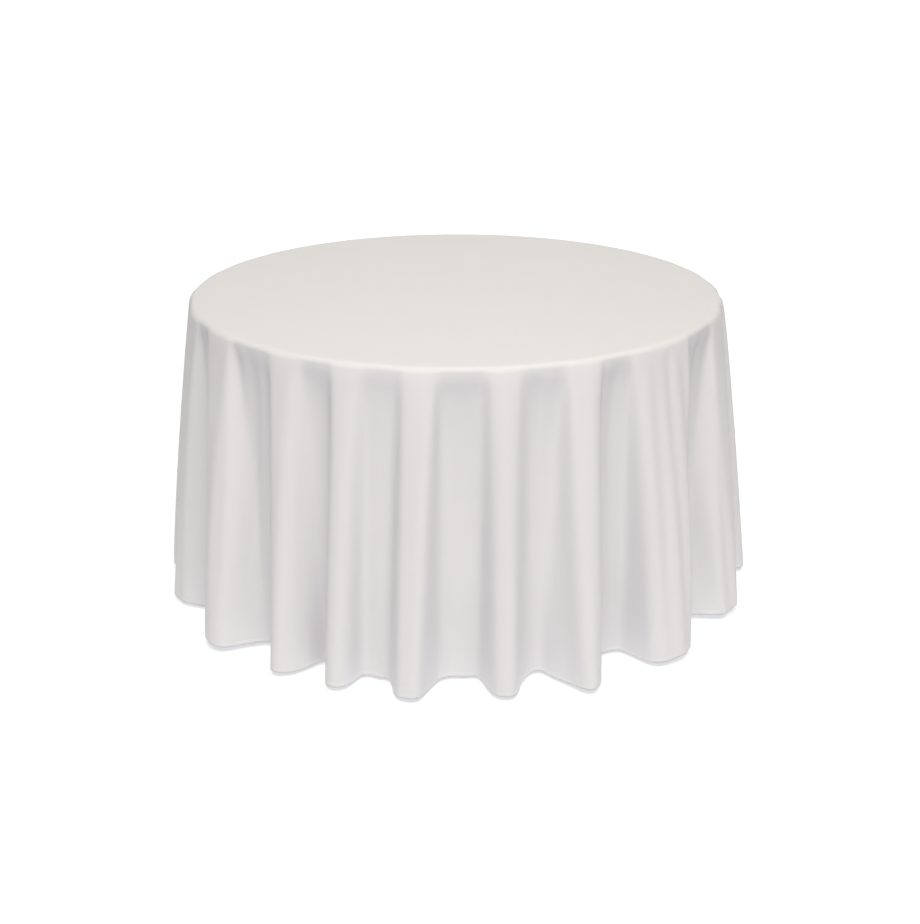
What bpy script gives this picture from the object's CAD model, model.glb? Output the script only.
# %% [markdown]
# # A floor-length tablecloth on a round folding table
#
# The object is one round sheet of plain white polyester, laid over a round banquet table so that its
# hem hangs just above the floor all the way round. The table under it comes ready made as a fixed
# frame: this lesson finishes its materials, then makes the cloth, its turned hem and its stitches.

# %% Load the frame
import math
import bpy
import numpy as np
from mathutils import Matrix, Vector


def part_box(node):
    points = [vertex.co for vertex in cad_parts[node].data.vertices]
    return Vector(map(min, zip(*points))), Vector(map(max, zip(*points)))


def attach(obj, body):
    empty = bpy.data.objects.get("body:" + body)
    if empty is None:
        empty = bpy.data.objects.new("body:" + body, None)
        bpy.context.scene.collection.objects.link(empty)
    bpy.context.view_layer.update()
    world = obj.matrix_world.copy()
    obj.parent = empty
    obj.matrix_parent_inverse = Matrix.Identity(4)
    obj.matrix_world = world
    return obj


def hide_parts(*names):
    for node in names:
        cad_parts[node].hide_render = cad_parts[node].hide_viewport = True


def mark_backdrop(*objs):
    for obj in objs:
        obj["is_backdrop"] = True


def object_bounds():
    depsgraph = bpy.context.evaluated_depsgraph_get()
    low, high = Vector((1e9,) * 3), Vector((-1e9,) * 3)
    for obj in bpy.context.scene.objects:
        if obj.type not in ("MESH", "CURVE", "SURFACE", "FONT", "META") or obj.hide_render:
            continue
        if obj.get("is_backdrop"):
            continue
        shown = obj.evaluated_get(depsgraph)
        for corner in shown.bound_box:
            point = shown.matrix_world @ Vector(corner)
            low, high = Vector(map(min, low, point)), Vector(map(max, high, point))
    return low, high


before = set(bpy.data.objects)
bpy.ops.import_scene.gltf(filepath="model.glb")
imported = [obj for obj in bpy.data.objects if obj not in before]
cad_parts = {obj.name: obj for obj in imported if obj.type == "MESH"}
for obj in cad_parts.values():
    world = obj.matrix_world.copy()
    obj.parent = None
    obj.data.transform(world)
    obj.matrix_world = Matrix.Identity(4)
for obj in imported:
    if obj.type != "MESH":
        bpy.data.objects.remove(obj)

cad_low, cad_high = [list(corner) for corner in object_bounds()]

# %% [markdown]
# ## Sizes that everything follows
#
# A tablecloth takes its shape from the table: where the flat top ends, how round the edge is, and how
# far it is down to the floor. All of that is read from the frame, so a change to the table moves the
# cloth with it. Only the cloth's own sizes are written here.

# %% Sizes from the frame, and the cloth's own
band_low, band_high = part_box("edge_band")
table_r = (band_high[0] - band_low[0]) / 2
table_top = band_high[2]
nose_r = (band_high[2] - band_low[2]) / 2

cloth_thickness = 0.0006
cloth_clearance = 0.0006
cut_diameter = 2.896
hem_turn = 0.013
finished_r = cut_diameter / 2 - hem_turn
edge_r = table_r + cloth_clearance + cloth_thickness / 2
bend_r = nose_r + cloth_clearance + cloth_thickness / 2
drop = finished_r - (edge_r - bend_r) - bend_r * math.pi / 2
print("table radius", round(table_r, 4), "top", round(table_top, 4), "hanging length", round(drop, 4))

# %% [markdown]
# ## The camera
#
# The table is seen from a standing person's height, a little under three metres from its centre, with
# the camera tipped down. Depth of field stays off, and no shift is needed.

# %% Camera
scene = bpy.context.scene
camera_data = bpy.data.cameras.new("camera")
camera_data.sensor_width = 36
camera_data.lens = 44.25
camera_data.clip_end = 60
camera = bpy.data.objects.new("camera", camera_data)
camera.location = (0.011, -2.948, 1.506)
camera.rotation_euler = (math.pi / 2 - 0.400, 0, 0)
scene.collection.objects.link(camera)
scene.camera = camera

# %% [markdown]
# ## How a round cloth falls
#
# Cloth bends easily but hardly stretches. Outside the table edge a round sheet has more and more
# length going round than the table has, and that spare length has to go somewhere, so it stands out
# in folds. Each fold is a flat front, two steep sides, and a flat valley back at the table edge. The
# fronts and valleys keep nearly the same width all the way down, and the sides grow from nothing at
# the table edge to their full depth at the hem.
#
# A cloth simulation could find such a shape, but it would put the folds where it liked. Here the
# folds are placed by hand instead: the list says where each front starts and ends at the table edge
# and at the hem, in degrees round from the front, and how far it reaches beyond the table edge.

# %% The folds, going round from the front
# (left and right of the front at the table edge, left and right at the hem, and its reach at the
# left, the middle and the right in mm)
folds = [
    (-89.0, -82.0, -84.0, -78.5, 112, 118, 108),
    (-73.0, -63.0, -69.0, -64.0, 112, 123, 116),
    (-57.0, -47.5, -49.5, -44.0, 132, 143, 122),
    (-36.6, -29.5, -33.5, -29.5, 114, 121, 98),
    (-22.7, -16.5, -22.6, -18.9, 106, 118, 92),
    (-9.6, -2.9, -9.8, -6.0, 112, 120, 113),
    (5.6, 12.0, 6.8, 9.8, 100, 113, 106),
    (20.4, 27.5, 20.8, 25.2, 122, 139, 118),
    (34.4, 51.0, 35.8, 44.8, 116, 140, 134),
    (62.5, 73.0, 57.0, 66.5, 112, 136, 124),
]
# The folds that face away, as (middle of the front, width at the edge, width at the hem, reach)
back_folds = [
    (79.8, 5.5, 4.5, 126), (91.5, 6.0, 4.0, 134), (104.0, 6.5, 5.0, 122), (116.5, 5.5, 4.0, 132),
    (130.0, 6.5, 5.0, 138), (142.5, 6.0, 4.5, 124), (155.0, 5.5, 4.0, 130), (168.5, 6.5, 5.0, 136),
    (181.0, 6.0, 4.0, 126), (193.5, 5.5, 4.5, 132), (207.0, 6.5, 5.0, 138), (219.5, 6.0, 4.0, 125),
    (232.0, 5.5, 4.5, 131), (245.0, 6.5, 4.5, 136), (258.5, 6.0, 4.5, 127),
]
corner_share = 0.94
for middle, edge_width, hem_width, reach in back_folds:
    corner_reach = corner_share * reach
    folds.append((middle - edge_width / 2, middle + edge_width / 2, middle - hem_width / 2,
                  middle + hem_width / 2, corner_reach, reach, corner_reach))
print(len(folds), "folds")

# %% [markdown]
# The valleys between the folds, and how far each side runs sideways, decide how open a fold looks. A
# side that runs straight back is hidden behind its own front, and one that slants can be seen.

# %% The sides and valleys at the hem
# (degrees that the left side runs, degrees that the right side runs, valley's reach in mm to the right)
fold_sides = [
    (2.5, 2.5, 16), (2.5, 8.0, 20), (2.5, 4.0, 26), (2.0, 2.8, 18), (1.5, 1.3, 34), (2.5, 3.0, 12),
    (2.2, 4.2, 14), (4.0, 1.8, 10), (1.2, 1.8, 20), (3.0, 3.0, 18),
]
for i in range(len(back_folds)):
    fold_sides.append((1.6 + 1.0 * (i % 2), 2.6 - 0.8 * (i % 3 == 1), 12 + 5 * (i % 3)))


def to_plan(angle, radius):
    """A point on the floor plan, from its degrees round from the front and its distance out."""
    turn = np.radians(angle)
    return np.stack([radius * np.sin(turn), -radius * np.cos(turn)], axis=-1)


def hem_outline():
    """Corners of the hem, in order, each with the degrees at the table edge that it hangs from."""
    corners = []
    for i, (fold, side) in enumerate(zip(folds, fold_sides)):
        edge_left, edge_right, hem_left, hem_right, reach_left, reach, reach_right = fold
        run_left, run_right, valley = side
        valley_before = fold_sides[i - 1][2]
        corners.append((hem_left - run_left, valley_before, edge_left))
        corners.append((hem_left, reach_left, edge_left))
        corners.append(((hem_left + hem_right) / 2, reach, (edge_left + edge_right) / 2))
        corners.append((hem_right, reach_right, edge_right))
        corners.append((hem_right + run_right, valley, edge_right))
    return np.array(corners)


corners = hem_outline()
hem_reach = corners[:, 1]
print(len(corners), "corners; the hem is", hem_reach.min(), "to", hem_reach.max(), "mm beyond the edge")

# %% [markdown]
# ## From corners to a smooth grid
#
# The corners are joined by straight runs, sampled evenly along the hem, and then smoothed along it,
# which rounds each corner by a few millimetres as cloth does. The sheet is a grid: columns run from
# the table edge to the hem, and rows run round.

# %% Sample and smooth the hem
columns = 1080


def around(values):
    """The same values with the first repeated one turn on, so that a run closes."""
    return np.concatenate([values, values[:1]])


def smooth(values, width):
    """Rounds a closed run of values with a bell curve that is this many columns wide."""
    reach = int(4 * width) + 1
    steps = np.arange(-reach, reach + 1)
    weights = np.exp(-0.5 * (steps / width) ** 2)
    weights /= weights.sum()
    return sum(w * np.roll(values, -k, axis=0) for k, w in zip(steps, weights))


hem_xy = around(to_plan(corners[:, 0], edge_r + corners[:, 1] / 1000))
edge_turn = np.append(corners[:, 2], corners[0, 2] + 360)
hem_run = np.concatenate([[0], np.cumsum(np.linalg.norm(np.diff(hem_xy, axis=0), axis=1))])
edge_run = np.radians(edge_turn - edge_turn[0]) * edge_r
mixed_run = 0.7 * hem_run + 0.3 * edge_run
place = np.arange(columns) / columns * mixed_run[-1]
hem_points = np.stack([np.interp(place, mixed_run, hem_xy[:, k]) for k in (0, 1)], axis=-1)
edge_angle = np.interp(place, mixed_run, edge_turn)
edge_angle = smooth(edge_angle - np.arange(columns) * 360 / columns, 3) + np.arange(columns) * 360 / columns
hem_angle = np.interp(place, mixed_run, hem_run) / hem_run[-1] * 360 + edge_turn[0]
print("hem length", round(hem_run[-1], 3), "of", round(2 * math.pi * finished_r, 3), "m when flat")

# %% [markdown]
# Real cloth never bends to a sharp line, so each row is rounded along its own length. It is never quite
# even either: a few slow waves of different lengths, each a millimetre or two high, run down the sheet
# and grow towards the hem.

# %% Rounding and unevenness
def rounded(row, width):
    """Rounds a closed row of points with a bell curve this wide along the row."""
    closed = around(row)
    run = np.concatenate([[0], np.cumsum(np.linalg.norm(np.diff(closed, axis=0), axis=1))])
    even = np.arange(columns) / columns * run[-1]
    spread = np.stack([np.interp(even, run, line) for line in closed.T], axis=-1)
    spread = around(smooth(spread, width * columns / run[-1]))
    even = np.append(even, run[-1])
    return np.stack([np.interp(run[:-1], even, line) for line in spread.T], axis=-1)


def sideways(row):
    """The level outward direction, square to a closed row of points."""
    along = np.roll(row, -3, axis=0)[:, :2] - np.roll(row, 3, axis=0)[:, :2]
    along /= np.maximum(np.linalg.norm(along, axis=1), 1e-6)[:, None]
    return np.stack([along[:, 1], -along[:, 0], np.zeros(columns)], axis=-1)


wave_maker = np.random.default_rng(7)
wave_counts = wave_maker.integers(24, 96, 14)
wave_starts = wave_maker.uniform(0, 2 * math.pi, 14)
wave_drifts = wave_maker.uniform(-2.5, 2.5, 14)
wave_heights = wave_maker.uniform(0.0004, 0.0012, 14)


def unevenness(row, share):
    """How far each point of a row stands out or in, in metres."""
    turn = np.arctan2(row[:, 0], -row[:, 1])
    fade = min(1.0, share / 0.12) * (0.45 + 0.55 * share)
    waves = [h * np.sin(n * turn + start + drift * share)
             for n, start, drift, h in zip(wave_counts, wave_starts, wave_drifts, wave_heights)]
    return fade * sum(waves)


# %% [markdown]
# Two more habits of hanging cloth are added by hand. Just under the rim there is nothing behind the
# cloth, so a valley tucks in a little before it hangs straight. And where cloth is pulled over the rim
# it puckers: a few short creases start at the edge and die out on the way down.

# %% Tuck and creases
full_front_reach = 0.12
frontness = np.clip((np.linalg.norm(hem_points, axis=1) - edge_r) / full_front_reach, 0, 1)
valley_tuck = 0.012
# (degrees round at the table edge, width in degrees, depth in mm, share of the drop where it ends)
creases = [
    (-66.0, 0.9, 3.0, 0.30), (-46.3, 0.8, 4.0, 0.22), (-42.0, 0.7, 4.5, 0.30), (-27.0, 0.7, 2.5, 0.20),
    (-13.5, 0.7, 2.0, 0.22), (3.5, 0.6, 1.5, 0.15), (14.5, 0.7, 2.5, 0.25), (31.0, 0.8, 3.5, 0.28),
    (43.5, 0.9, 6.0, 0.55), (57.0, 0.9, 4.0, 0.40), (96.0, 0.8, 4.0, 0.30), (121.5, 0.7, 3.5, 0.25),
    (160.5, 0.9, 4.0, 0.35), (200.0, 0.8, 3.5, 0.22), (225.5, 0.8, 4.0, 0.30), (251.5, 0.7, 3.5, 0.28),
]


def swell(share, start, stop, early=0.6):
    """Rises and falls between two shares of the drop, with its top nearer the start."""
    x = min(max((share - start) / (stop - start), 0.0), 1.0)
    return math.sin(math.pi * x ** early)


def tuck_and_creases(share):
    """How far each column of a row goes inwards, in metres."""
    inwards = valley_tuck * (1 - frontness) * swell(share, 0.03, 0.7)
    for middle, width, depth, stop in creases:
        away = (edge_angle - middle + 180) % 360 - 180
        inwards = inwards + depth / 1000 * np.exp(-(away / width) ** 2) * swell(share, 0.0, stop, 0.5)
    return inwards


# %% [markdown]
# ## The rows of the sheet
#
# The cloth leaves the flat top, turns over the rounded table edge, and goes straight on down. At a
# front it leaves the edge sloping outwards, so it turns through a little less than a right angle;
# at a valley it turns all the way. Each column has the same hanging length, so a front, which
# slopes, ends a few millimetres higher than a valley.

# %% Rows of the sheet
front_bulge = 0.007
stitch_groove = 0.0003
stitches_up = 0.0110
bend_rounding = 0.002
rounding_growth = 0.005
skirt_rounding = 0.007
flare = 0.88
top_z = table_top + cloth_clearance + cloth_thickness / 2
bend_centre_r = edge_r - bend_r
edge_way = to_plan(edge_angle, 1.0)
column_bend = bend_r + front_bulge * frontness
slope = np.arctan((np.linalg.norm(hem_points, axis=1) - edge_r) / drop)
turn = math.pi / 2 - slope
foot_r = bend_centre_r + column_bend * np.sin(turn)
foot_z = top_z - column_bend * (1 - np.cos(turn))
across = hem_points - edge_way * foot_r[:, None]
hanging = np.sqrt(drop ** 2 - np.sum(across ** 2, axis=1))

hem_rows_up = np.array([0.032, 0.020, 0.0135, 0.0120, stitches_up, 0.0100, 0.0060, 0.0025, 0.0])
top_shares = np.array([0.4, 0.97, 1.0])
bend_shares = np.linspace(0, 1, 7)[1:]
under_rim_shares = np.linspace(0, 0.1, 7)[1:]
middle_shares = np.linspace(0.1, 0.93, 21)[1:]
skirt_shares = np.concatenate([under_rim_shares, middle_shares, 1 - hem_rows_up / drop])
rows = []
flat_radius = []
for share in top_shares:
    ring = edge_way * (bend_centre_r * share)
    rows.append(np.column_stack([ring, np.full(columns, top_z)]))
    flat_radius.append(np.full(columns, bend_centre_r * share))
for share in bend_shares:
    angle = turn * share
    radius = bend_centre_r + column_bend * np.sin(angle)
    row = np.column_stack([edge_way * radius[:, None], top_z - column_bend * (1 - np.cos(angle))])
    rows.append(rounded(row, bend_rounding + rounding_growth * share))
    flat_radius.append(bend_centre_r + column_bend * angle)
for share in skirt_shares:
    plan = edge_way * foot_r[:, None] + across * share ** flare
    plan = plan - edge_way * tuck_and_creases(share)[:, None]
    rounding = skirt_rounding + rounding_growth * min(1, share / 0.3)
    row = rounded(np.column_stack([plan, foot_z - hanging * share]), rounding)
    rows.append(row + sideways(row) * unevenness(row, share)[:, None])
    flat_radius.append(bend_centre_r + bend_r * turn + drop * share)
stitch_row = len(rows) - len(hem_rows_up) + list(hem_rows_up).index(stitches_up)
rows[stitch_row] = rows[stitch_row] - sideways(rows[stitch_row]) * stitch_groove
grid = np.array(rows)
flat_radius = np.array(flat_radius)
first_skirt = len(top_shares) + len(bend_shares)
print("grid", grid.shape, "hem height", round(grid[-1, :, 2].min(), 4), "to", round(grid[-1, :, 2].max(), 4))

# %% [markdown]
# ## From a grid to a mesh
#
# The sheet is one mesh: a fan of triangles round the middle, then rings of four-sided faces. Its UV
# map is the flat sheet before it was draped, so the weave follows the threads over the edge and into
# every fold. A Solidify modifier gives it the thickness of the fabric.

# %% Build the sheet
def flat_angle(row):
    """Degrees round the flat sheet for each column of a row, from the edge's spacing to the hem's."""
    share = 0 if row < first_skirt else skirt_shares[row - first_skirt]
    return edge_angle * (1 - share) + hem_angle * share


def sheet_mesh(name, grid, flat_places, centre=None):
    """A mesh from closed rows of points, with the flat places as its UV map and an optional middle point."""
    row_count = len(grid)
    points = grid.reshape(-1, 3)
    flats = flat_places.reshape(-1, 2)
    faces = []
    for row in range(row_count - 1):
        for column in range(columns):
            beside = (column + 1) % columns
            faces.append((row * columns + column, (row + 1) * columns + column,
                          (row + 1) * columns + beside, row * columns + beside))
    if centre is not None:
        middle = len(points)
        points = np.vstack([points, centre])
        flats = np.vstack([flats, (0.5, 0.5)])
        faces += [(middle, column, (column + 1) % columns) for column in range(columns)]
    mesh = bpy.data.meshes.new(name)
    mesh.from_pydata(points.tolist(), [], faces)
    corner_points = np.zeros(len(mesh.loops), dtype=np.int32)
    mesh.loops.foreach_get("vertex_index", corner_points)
    layer = mesh.uv_layers.new(name="flat_sheet")
    layer.data.foreach_set("uv", flats[corner_points].ravel().astype(np.float32))
    mesh.polygons.foreach_set("use_smooth", [True] * len(mesh.polygons))
    mesh.update()
    return mesh


flat_places = [to_plan(flat_angle(row), 1.0) * flat_radius[row][:, None] for row in range(len(grid))]
flat_places = np.array(flat_places)
flat_places = flat_places / cut_diameter + 0.5
cloth_mesh = sheet_mesh("tablecloth_sheet", grid, flat_places, (0, 0, top_z))
cloth = bpy.data.objects.new("tablecloth_sheet", cloth_mesh)
scene.collection.objects.link(cloth)
solidify = cloth.modifiers.new("thickness", "SOLIDIFY")
solidify.thickness = cloth_thickness
solidify.offset = 0
print(len(cloth_mesh.polygons), "faces in the sheet")

# %% [markdown]
# ## The turned hem
#
# The cut edge of the sheet is folded up inside and stitched, so that it can't fray. The fold gives the
# lower edge its small round lip. It could be one sheet with the cloth, but as a strip of its own it
# keeps the two layers apart, as they are on the real hem. It follows the last rows of the cloth.

# %% Hem strip
hem_thickness = 0.0006
layer_gap = 0.0001
inset = (cloth_thickness + hem_thickness) / 2 + layer_gap
hem_grid = []
hem_radius = []
for row_number in (-6, -4, -3, -2, -1):
    hem_grid.append(grid[row_number] - sideways(grid[row_number]) * inset)
    hem_radius.append(finished_r + hem_rows_up[row_number])
lip_drop = np.array([0, 0, hem_thickness + layer_gap])
hem_grid.append(grid[-1] - sideways(grid[-1]) * inset * 0.75 - lip_drop * 0.8)
hem_grid.append(grid[-1] - lip_drop)
hem_radius += [finished_r - 0.0005, finished_r - 0.001]
hem_flat = [to_plan(hem_angle, radius) / cut_diameter + 0.5 for radius in hem_radius]
hem_mesh = sheet_mesh("hem_strip", np.array(hem_grid)[::-1], np.array(hem_flat)[::-1])
hem = bpy.data.objects.new("hem_strip", hem_mesh)
scene.collection.objects.link(hem)
hem_solidify = hem.modifiers.new("thickness", "SOLIDIFY")
hem_solidify.thickness = hem_thickness
hem_solidify.offset = 0
print(len(hem_mesh.polygons), "faces in the hem strip")

# %% [markdown]
# ## The row of stitches
#
# One row of machine stitches holds the hem, eleven millimetres up. There are nearly three thousand of
# them, all alike, so Geometry Nodes place them: a closed line of edges becomes a curve, the curve is
# cut into even steps, and a short rod of thread is set at each step, turned along the line.

# %% Stitch line and node tree
def node_tree(name, inputs):
    """An empty geometry tree with a mesh going in and out, and named inputs as (name, kind)."""
    tree = bpy.data.node_groups.new(name, "GeometryNodeTree")
    tree.interface.new_socket("Geometry", in_out="INPUT", socket_type="NodeSocketGeometry")
    for label, kind in inputs:
        tree.interface.new_socket(label, in_out="INPUT", socket_type=kind)
    tree.interface.new_socket("Geometry", in_out="OUTPUT", socket_type="NodeSocketGeometry")
    return tree


def add_node(tree, kind, settings, links):
    """A node with its settings, and its inputs set to values or linked to other nodes' outputs."""
    made = tree.nodes.new(kind)
    for key, setting in settings.items():
        setattr(made, key, setting)
    for key, value in links.items():
        if isinstance(value, bpy.types.NodeSocket):
            tree.links.new(value, made.inputs[key])
        else:
            made.inputs[key].default_value = value
    return made


stitch_inputs = [("Spacing", "NodeSocketFloat"), ("Stitch length", "NodeSocketFloat"),
                 ("Thread radius", "NodeSocketFloat"), ("Thread", "NodeSocketMaterial")]
stitch_tree = node_tree("hem_stitching", stitch_inputs)
given = stitch_tree.nodes.new("NodeGroupInput").outputs
line = add_node(stitch_tree, "GeometryNodeMeshToCurve", {}, {0: given["Geometry"]})
steps = add_node(stitch_tree, "GeometryNodeResampleCurve", {"mode": "LENGTH"},
                 {"Curve": line.outputs[0], "Length": given["Spacing"]})
tangent = stitch_tree.nodes.new("GeometryNodeInputTangent")
turned = add_node(stitch_tree, "FunctionNodeAlignRotationToVector", {"axis": "Z"},
                  {"Vector": tangent.outputs[0]})
rod = add_node(stitch_tree, "GeometryNodeMeshCylinder", {}, {
    "Vertices": 5, "Radius": given["Thread radius"], "Depth": given["Stitch length"]})
placed = add_node(stitch_tree, "GeometryNodeInstanceOnPoints", {}, {
    "Points": steps.outputs[0], "Instance": rod.outputs["Mesh"], "Rotation": turned.outputs[0]})
real = add_node(stitch_tree, "GeometryNodeRealizeInstances", {}, {0: placed.outputs[0]})
painted = add_node(stitch_tree, "GeometryNodeSetMaterial", {}, {
    "Geometry": real.outputs[0], "Material": given["Thread"]})
group_output = stitch_tree.nodes.new("NodeGroupOutput")
stitch_tree.links.new(painted.outputs[0], group_output.inputs[0])
print(len(stitch_tree.nodes), "nodes in the stitching tree")

# %% [markdown]
# ## Materials
#
# Shader maths reads best as arithmetic. A small class wraps one socket of a node tree, so that
# `1 - mask * 0.2` adds the Math nodes by itself, and a second class makes any other node.

# %% Shader arithmetic
class Value:
    """One output of a shader node. Arithmetic on it adds Math nodes."""

    def __init__(self, finish, socket):
        self.finish = finish
        self.socket = socket

    def maths(self, operation, first, second=0.0):
        return self.finish.node("ShaderNodeMath", {"operation": operation}, {0: first, 1: second})

    def __add__(self, other):
        return self.maths("ADD", self, other)

    def __radd__(self, other):
        return self.maths("ADD", other, self)

    def __sub__(self, other):
        return self.maths("SUBTRACT", self, other)

    def __rsub__(self, other):
        return self.maths("SUBTRACT", other, self)

    def __mul__(self, other):
        return self.maths("MULTIPLY", self, other)

    def __rmul__(self, other):
        return self.maths("MULTIPLY", other, self)

    def sine(self):
        return self.maths("SINE", self)

    def clamped(self):
        return self.finish.node("ShaderNodeClamp", {}, {0: self})


class Finish:
    """A material being built: node() adds any node, and surface() sets the Principled shader."""

    def __init__(self, name):
        self.material = bpy.data.materials.new(name)
        self.material.use_nodes = True
        self.tree = self.material.node_tree
        self.shader = self.tree.nodes["Principled BSDF"]

    def node(self, kind, settings, inputs, output=0):
        made = self.tree.nodes.new(kind)
        for key, setting in settings.items():
            setattr(made, key, setting)
        for key, value in inputs.items():
            if isinstance(value, Value):
                self.tree.links.new(value.socket, made.inputs[key])
            else:
                made.inputs[key].default_value = value
        return Value(self, made.outputs[output])

    def place(self, scale):
        """Object coordinates, scaled: a pattern that is the same wherever the piece is seen from."""
        coordinates = self.node("ShaderNodeTexCoord", {}, {}, "Object")
        return self.node("ShaderNodeMapping", {}, {"Vector": coordinates, "Scale": scale})

    def noise(self, vector, scale, detail=3.0):
        return self.node("ShaderNodeTexNoise", {}, {"Vector": vector, "Scale": scale, "Detail": detail})

    def blend(self, factor, first, second):
        """A colour between two, through a Mix node."""
        return self.node("ShaderNodeMix", {"data_type": "RGBA"}, {0: factor, 6: first, 7: second}, 2)

    def bump(self, height, distance, strength=1.0):
        return self.node("ShaderNodeBump", {}, {"Height": height, "Distance": distance, "Strength": strength})

    def surface(self, **sockets):
        for key, value in sockets.items():
            socket = self.shader.inputs[key.replace("_", " ")]
            if isinstance(value, Value):
                self.tree.links.new(value.socket, socket)
            else:
                socket.default_value = value
        return self.material


def rgb(red, green, blue):
    """A colour from screen values of 0 to 255, as the shader's own light values."""
    parts = [c / 255 for c in (red, green, blue)]
    return tuple(c / 12.92 if c <= 0.04045 else ((c + 0.055) / 1.055) ** 2.4 for c in parts) + (1.0,)


# %% [markdown]
# ## The white polyester
#
# Close to, the cloth is a plain weave of fine spun yarn: threads cross every half millimetre, and
# some yarns are a little thicker than others, which leaves faint lines along the sheet. Further away
# it is a soft, even white with almost no gloss. The weave reads the flat sheet's UV map.

# %% Cloth material
def cloth_finish():
    finish = Finish("white_polyester")
    uv = finish.node("ShaderNodeUVMap", {"uv_map": "flat_sheet"}, {})
    parts = [finish.node("ShaderNodeSeparateXYZ", {}, {0: uv}, k) for k in (0, 1)]
    warp, weft = [part * cut_diameter for part in parts]
    thread = math.pi / 0.0005
    plain = (warp * thread).sine() * (weft * thread).sine()
    slubs_along = finish.node("ShaderNodeMapping", {}, {"Vector": uv, "Scale": (4000, 60, 1)})
    slubs_across = finish.node("ShaderNodeMapping", {}, {"Vector": uv, "Scale": (60, 4000, 1)})
    slub = finish.noise(slubs_along, 0.25, 2.0) + finish.noise(slubs_across, 0.25, 2.0) - 1.0
    cloud = finish.noise(uv, 9.0, 2.0)
    colour = finish.blend(cloud, rgb(210, 208, 213), rgb(213, 211, 216))
    colour = finish.blend((slub * 0.5 + 0.5).clamped(), colour, rgb(216, 213, 218))
    height = plain * 0.5 + slub * 0.8
    return finish.surface(
        Base_Color=colour,
        Roughness=(0.80 + slub * 0.06).clamped(),
        Normal=finish.bump(height, 0.00008, 0.5),
        Sheen_Weight=0.12,
        Sheen_Roughness=0.5,
        Specular_IOR_Level=0.25,
    )


polyester = cloth_finish()
cloth_mesh.materials.append(polyester)

# %% [markdown]
# The thread is a white spun polyester like the cloth, a little shinier. Its material is made first, so
# that the stitching tree can be given it, and then the stitches are turned into a plain mesh.

# %% Thread, hem material and stitches
def thread_finish():
    finish = Finish("white_thread")
    place = finish.place((1, 1, 1))
    fibre = finish.noise(place, 3500, 2.0)
    return finish.surface(
        Base_Color=finish.blend(fibre, rgb(209, 207, 209), rgb(230, 227, 230)),
        Roughness=(0.5 + fibre * 0.2).clamped(),
        Normal=finish.bump(fibre, 0.00005, 0.6),
        Sheen_Weight=0.1,
    )


hem_mesh.materials.append(polyester)
line_row = grid[stitch_row] + sideways(grid[stitch_row]) * (cloth_thickness / 2 + 0.00008)
line_mesh = bpy.data.meshes.new("stitch_line")
line_mesh.from_pydata(line_row.tolist(), [(i, (i + 1) % columns) for i in range(columns)], [])
stitch_line = bpy.data.objects.new("stitch_line", line_mesh)
scene.collection.objects.link(stitch_line)
stitching = stitch_line.modifiers.new("stitching", "NODES")
stitching.node_group = stitch_tree
stitch_values = {"Spacing": 0.0032, "Stitch length": 0.0027, "Thread radius": 0.0002,
                 "Thread": thread_finish()}
for item in stitch_tree.interface.items_tree:
    if item.in_out == "INPUT" and item.name in stitch_values:
        stitching[item.identifier] = stitch_values[item.name]
evaluated = stitch_line.evaluated_get(bpy.context.evaluated_depsgraph_get())
stitch_mesh = bpy.data.meshes.new_from_object(evaluated)
stitch_mesh.name = "hem_stitches"
stitch_mesh.materials.pop(index=0)
stitch_line.modifiers.remove(stitching)
bpy.data.objects.remove(stitch_line)
stitches = bpy.data.objects.new("hem_stitches", stitch_mesh)
scene.collection.objects.link(stitches)
print(len(stitch_mesh.polygons), "faces in the stitches,", [held.name for held in stitch_mesh.materials])

# %% [markdown]
# ## The table under the cloth
#
# The table is seen only from below or when the cloth is lifted, but each piece gets the finish that
# its maker gives it. Wood has grain that runs along the board. It is noise, stretched along one axis,
# with darker lines where the noise passes through one value.

# %% Wood and laminate
def wood_finish(name, light, dark, stretch, roughness):
    """Wood whose grain runs along the axis with the smallest stretch."""
    finish = Finish(name)
    grain = finish.noise(finish.place(stretch), 1.0, 5.0)
    pores = finish.noise(finish.place(tuple(3.5 * v for v in stretch)), 1.0, 2.0)
    rings = (grain * 22.0).sine() * 0.5 + 0.5
    mask = (rings * 0.65 + pores * 0.5 - 0.1).clamped()
    return finish.surface(
        Base_Color=finish.blend(mask, light, dark),
        Roughness=(roughness + mask * 0.12).clamped(),
        Normal=finish.bump(mask, 0.0001, 0.35),
    )


def laminate_finish():
    finish = Finish("speckled_laminate")
    place = finish.place((1, 1, 1))
    fine = finish.noise(place, 850, 1.0)
    coarse = finish.noise(place, 260, 2.0)
    specks = ((fine - 0.56) * 14.0).clamped()
    base = finish.blend(coarse, rgb(196, 184, 160), rgb(208, 198, 178))
    return finish.surface(
        Base_Color=finish.blend(specks * 0.6, base, rgb(150, 136, 116)),
        Roughness=(0.38 + coarse * 0.12).clamped(),
        Normal=finish.bump(fine, 0.00004, 0.3),
    )


def paint_node(prefixes, material):
    """Gives every frame node whose name starts with one of the prefixes a finish."""
    count = 0
    for name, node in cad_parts.items():
        if name.startswith(prefixes):
            for held in node.material_slots:
                held.material = material
            count += 1
    print(material.name, "on", count, "nodes")


birch = wood_finish("birch_plywood", rgb(214, 186, 142), rgb(180, 146, 100), (2.5, 38, 38), 0.5)
beech = wood_finish("beech_runner", rgb(196, 154, 110), rgb(150, 108, 70), (60, 4, 60), 0.45)
paint_node(("top_panel",), birch)
paint_node(("runner_a", "runner_b"), beech)
paint_node(("top_laminate",), laminate_finish())

# %% [markdown]
# The legs are steel tube with a baked powder coat, which dries with a fine orange-peel surface and
# wears to a duller grey where boots and other tables rub it. The brackets are zinc plated, so they are
# bright metal with a faint flowery pattern. Turned parts have fine rings round them from the lathe.

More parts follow.
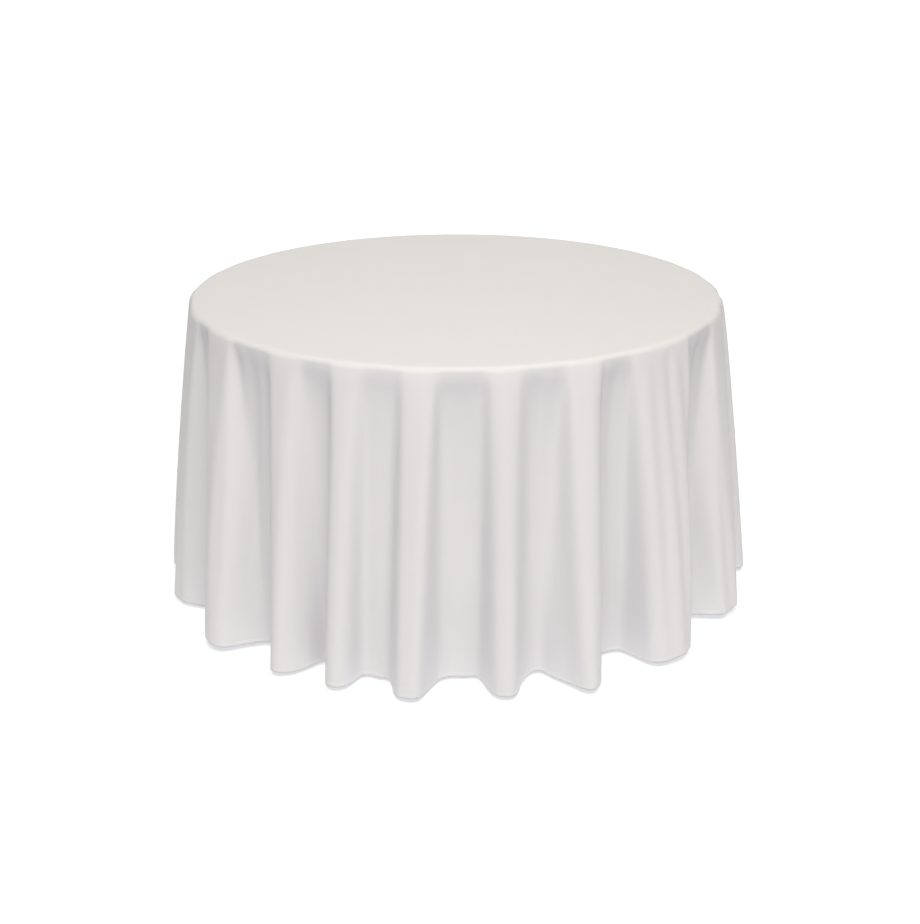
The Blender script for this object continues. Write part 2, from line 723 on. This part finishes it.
# %% Metal finishes
def powder_coat_finish():
    finish = Finish("grey_powder_coat")
    place = finish.place((1, 1, 1))
    peel = finish.noise(place, 620, 2.0)
    scuffs = ((finish.noise(finish.place((14, 14, 60)), 1.0, 6.0) - 0.62) * 9.0).clamped()
    return finish.surface(
        Base_Color=finish.blend(scuffs * 0.5, rgb(62, 65, 68), rgb(98, 100, 102)),
        Roughness=(0.36 + scuffs * 0.25 + peel * 0.06).clamped(),
        Normal=finish.bump(peel, 0.00012, 0.4),
        Coat_Weight=0.15,
    )


def zinc_finish(name, first, second, roughness):
    finish = Finish(name)
    place = finish.place((1, 1, 1))
    flower = finish.node("ShaderNodeTexVoronoi", {"feature": "F1"}, {"Vector": place, "Scale": 140.0})
    smear = finish.noise(place, 45, 4.0)
    return finish.surface(
        Base_Color=finish.blend(smear, first, second),
        Metallic=1.0,
        Roughness=(roughness + smear * 0.14 + flower * 6.0).clamped(),
        Normal=finish.bump(smear, 0.00005, 0.25),
    )


def turned_finish(name, colour, worn):
    """Steel that was turned on a lathe: rings round the Y axis, which all these pins lie along."""
    finish = Finish(name)
    place = finish.place((1, 1, 1))
    along = finish.node("ShaderNodeSeparateXYZ", {}, {0: place}, 1)
    rings = (along * (2 * math.pi / 0.0004)).sine()
    smear = finish.noise(place, 300, 3.0)
    return finish.surface(
        Base_Color=finish.blend(smear, colour, worn),
        Metallic=1.0,
        Roughness=(0.26 + smear * 0.18).clamped(),
        Normal=finish.bump(rings, 0.00002, 0.3),
    )


paint_node(("leg_tube", "pivot_tube", "cross_rail", "lock_plates"), powder_coat_finish())
for prefixes, name, first, second, roughness in (
    (("bracket_a", "bracket_b"), "zinc_plate", rgb(176, 180, 184), rgb(204, 206, 208), 0.3),
    (("runner_screws", "bracket_screws"), "screw_zinc", rgb(196, 190, 170), rgb(214, 210, 198), 0.26),
    (("plunger_springs",), "spring_wire", rgb(128, 130, 134), rgb(168, 170, 172), 0.32),
):
    paint_node(prefixes, zinc_finish(name, first, second, roughness))
for prefix, name, colour, worn in (
    ("plunger_sleeves", "turned_sleeve", rgb(150, 152, 156), rgb(186, 188, 190)),
    ("lock_pin", "turned_pin", rgb(190, 192, 194), rgb(216, 216, 218)),
):
    paint_node((prefix,), turned_finish(name, colour, worn))

# %% [markdown]
# The plastics differ in gloss and grain. The edge band is an extruded vinyl with a pebbled face, the
# bushes are smooth nylon, the feet are dusty rubber, and the pull knobs are glossy and moulded.

# %% Plastic and rubber finishes
def plastic_finish(name, dark, light, roughness, grain_scale, grain_depth, patch_scale):
    """A moulded plastic or rubber: a fine grain, and slow patches where it is worn or dusty."""
    finish = Finish(name)
    place = finish.place((1, 1, 1))
    grain = finish.noise(place, grain_scale, 2.0)
    patches = finish.noise(place, patch_scale, 4.0)
    worn = ((patches - 0.45) * 3.0).clamped()
    return finish.surface(
        Base_Color=finish.blend(worn, dark, light),
        Roughness=(roughness + worn * 0.15 + grain * 0.05).clamped(),
        Normal=finish.bump(grain, grain_depth, 0.5),
    )


# (node, name, dark colour, light colour, roughness, grain scale, grain depth, patch scale)
for prefix, *plastic in (
    ("edge_band", "pebbled_vinyl", rgb(38, 37, 38), rgb(52, 50, 50), 0.42, 900, 0.00012, 30),
    ("pivot_bushes", "nylon_bush", rgb(34, 34, 36), rgb(44, 44, 46), 0.36, 1500, 0.00002, 120),
    ("tube_plugs", "tube_plug", rgb(22, 22, 23), rgb(36, 36, 37), 0.48, 1100, 0.00005, 90),
    ("foot_cap", "foot_rubber", rgb(30, 29, 29), rgb(74, 72, 69), 0.72, 700, 0.00015, 55),
    ("pull_knob", "red_knob", rgb(150, 22, 20), rgb(172, 34, 28), 0.28, 1300, 0.00003, 80),
):
    paint_node((prefix,), plastic_finish(*plastic))

# %% [markdown]
# ## Floor and wall
#
# The floor is a pale panel with a faint glow of its own, so the gap under the hem stays light, and a
# plain white ring round it closes the view on every side. The ring is only for looking at and lights
# nothing. A black flag at each side of the table, as a photographer would set it, takes light off the
# flanks and gives the folds there some depth.

# %% Floor, wall and flags
def studio_piece(name, points, faces, finish):
    """A plain mesh of the studio, with one finish."""
    mesh = bpy.data.meshes.new(name)
    mesh.from_pydata(points, [], faces)
    mesh.materials.append(finish)
    piece = bpy.data.objects.new(name, mesh)
    scene.collection.objects.link(piece)
    return piece


floor_r = 9.0
wall_top = 8.0
ring_sides = 64
ring_turns = [2 * math.pi * i / ring_sides for i in range(ring_sides)]
floor_points = [(floor_r * math.cos(a), floor_r * math.sin(a), 0.0) for a in ring_turns]
wall_points = [(x, y, z) for z in (0.0, wall_top) for x, y, _ in floor_points]
wall_faces = []
for i in range(ring_sides):
    beside = (i + 1) % ring_sides
    wall_faces.append((i, ring_sides + i, ring_sides + beside, beside))
floor_finish = Finish("pale_floor").surface(
    Base_Color=rgb(180, 180, 181), Roughness=0.9,
    Emission_Color=rgb(249, 251, 255), Emission_Strength=0.62)
wall_finish = Finish("white_wall").surface(
    Base_Color=rgb(20, 20, 20), Roughness=1.0,
    Emission_Color=rgb(255, 255, 255), Emission_Strength=1.0)
studio_floor = studio_piece("studio_floor", floor_points, [tuple(range(ring_sides))], floor_finish)
studio_wall = studio_piece("studio_wall", wall_points, wall_faces, wall_finish)
studio_wall.visible_diffuse = False
studio_wall.visible_glossy = False
studio_wall.visible_transmission = False
studio_wall.visible_shadow = False
flag_x = 2.0
flag_corners = ((-1.6, 0.45), (2.6, 0.45), (2.6, 2.2), (-1.6, 2.2))
flag_finish = Finish("black_flag").surface(Base_Color=rgb(8, 8, 8), Roughness=1.0)
flags = []
for side in (-1, 1):
    flag_points = [(side * flag_x, y, z) for y, z in flag_corners]
    flags.append(studio_piece("flag", flag_points, [(0, 1, 2, 3)], flag_finish))
    flags[-1].visible_camera = False
    flags[-1].visible_shadow = False
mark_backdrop(studio_floor, studio_wall, *flags)
print("studio:", studio_floor.name, studio_wall.name, len(flags), "flags")

# %% [markdown]
# ## Light
#
# The room is bright and even. A wide soft sun stands high, a little to the right, and big soft lights
# fill in: one above the front of the table, one far in front of it, and one far behind it.

# %% Air and lights
world = bpy.data.worlds.new("studio_air")
world.use_nodes = True
world.node_tree.nodes["Background"].inputs["Color"].default_value = (1.0, 0.985, 0.94, 1)
world.node_tree.nodes["Background"].inputs["Strength"].default_value = 0.2
scene.world = world


def soft_light(name, place, aim, width, height, power, colour):
    """A rectangular area light that faces a point, and can't itself be seen."""
    data = bpy.data.lights.new(name, "AREA")
    data.shape = "RECTANGLE"
    data.size = width
    data.size_y = height
    data.energy = power
    data.color = colour
    light = bpy.data.objects.new(name, data)
    light.location = place
    way = np.array(aim) - np.array(place)
    tilt = math.atan2(math.hypot(way[0], way[1]), -way[2])
    light.rotation_euler = (tilt, 0, math.atan2(way[0], -way[1]) + math.pi)
    light.visible_camera = False
    scene.collection.objects.link(light)


sun = bpy.data.objects.new("high_sun", bpy.data.lights.new("high_sun", "SUN"))
sun.data.energy = 2.8
sun.data.color = (1.0, 0.995, 0.88)
sun.data.angle = math.radians(40)
sun.rotation_euler = (math.radians(22), 0, math.radians(8))
scene.collection.objects.link(sun)
soft_light("overhead", (0.1, -1.5, 2.8), (0.1, -0.5, 0.76), 1.8, 1.8, 15, (1.0, 0.99, 0.92))
soft_light("front_fill", (0.0, -5.2, 1.1), (0.0, 0.0, 0.4), 3.0, 1.6, 9, (0.95, 0.97, 1.0))
soft_light("back_fill", (0.0, 5.2, 1.5), (0.0, 0.0, 0.4), 3.0, 1.6, 22, (1.0, 0.99, 0.97))
scene.view_settings.view_transform = "Standard"

# %% [markdown]
# ## Ride, declare and finish
#
# Every piece of the cloth moves with the tablecloth body, and stands for the plain solids that the
# frame uses for collision.

# %% Join the cloth to the frame
for piece, material_slot in ((cloth, "tablecloth"), (hem, "hem"), (stitches, "hem")):
    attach(piece, "tablecloth")
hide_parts("tablecloth")
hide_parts("hem")

low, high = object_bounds()
sizes = {"cad": [cad_low, cad_high], "visual": [list(low), list(high)]}
for name, (box_low, box_high) in sizes.items():
    print(name, "box", [round(b - a, 4) for a, b in zip(box_low, box_high)])
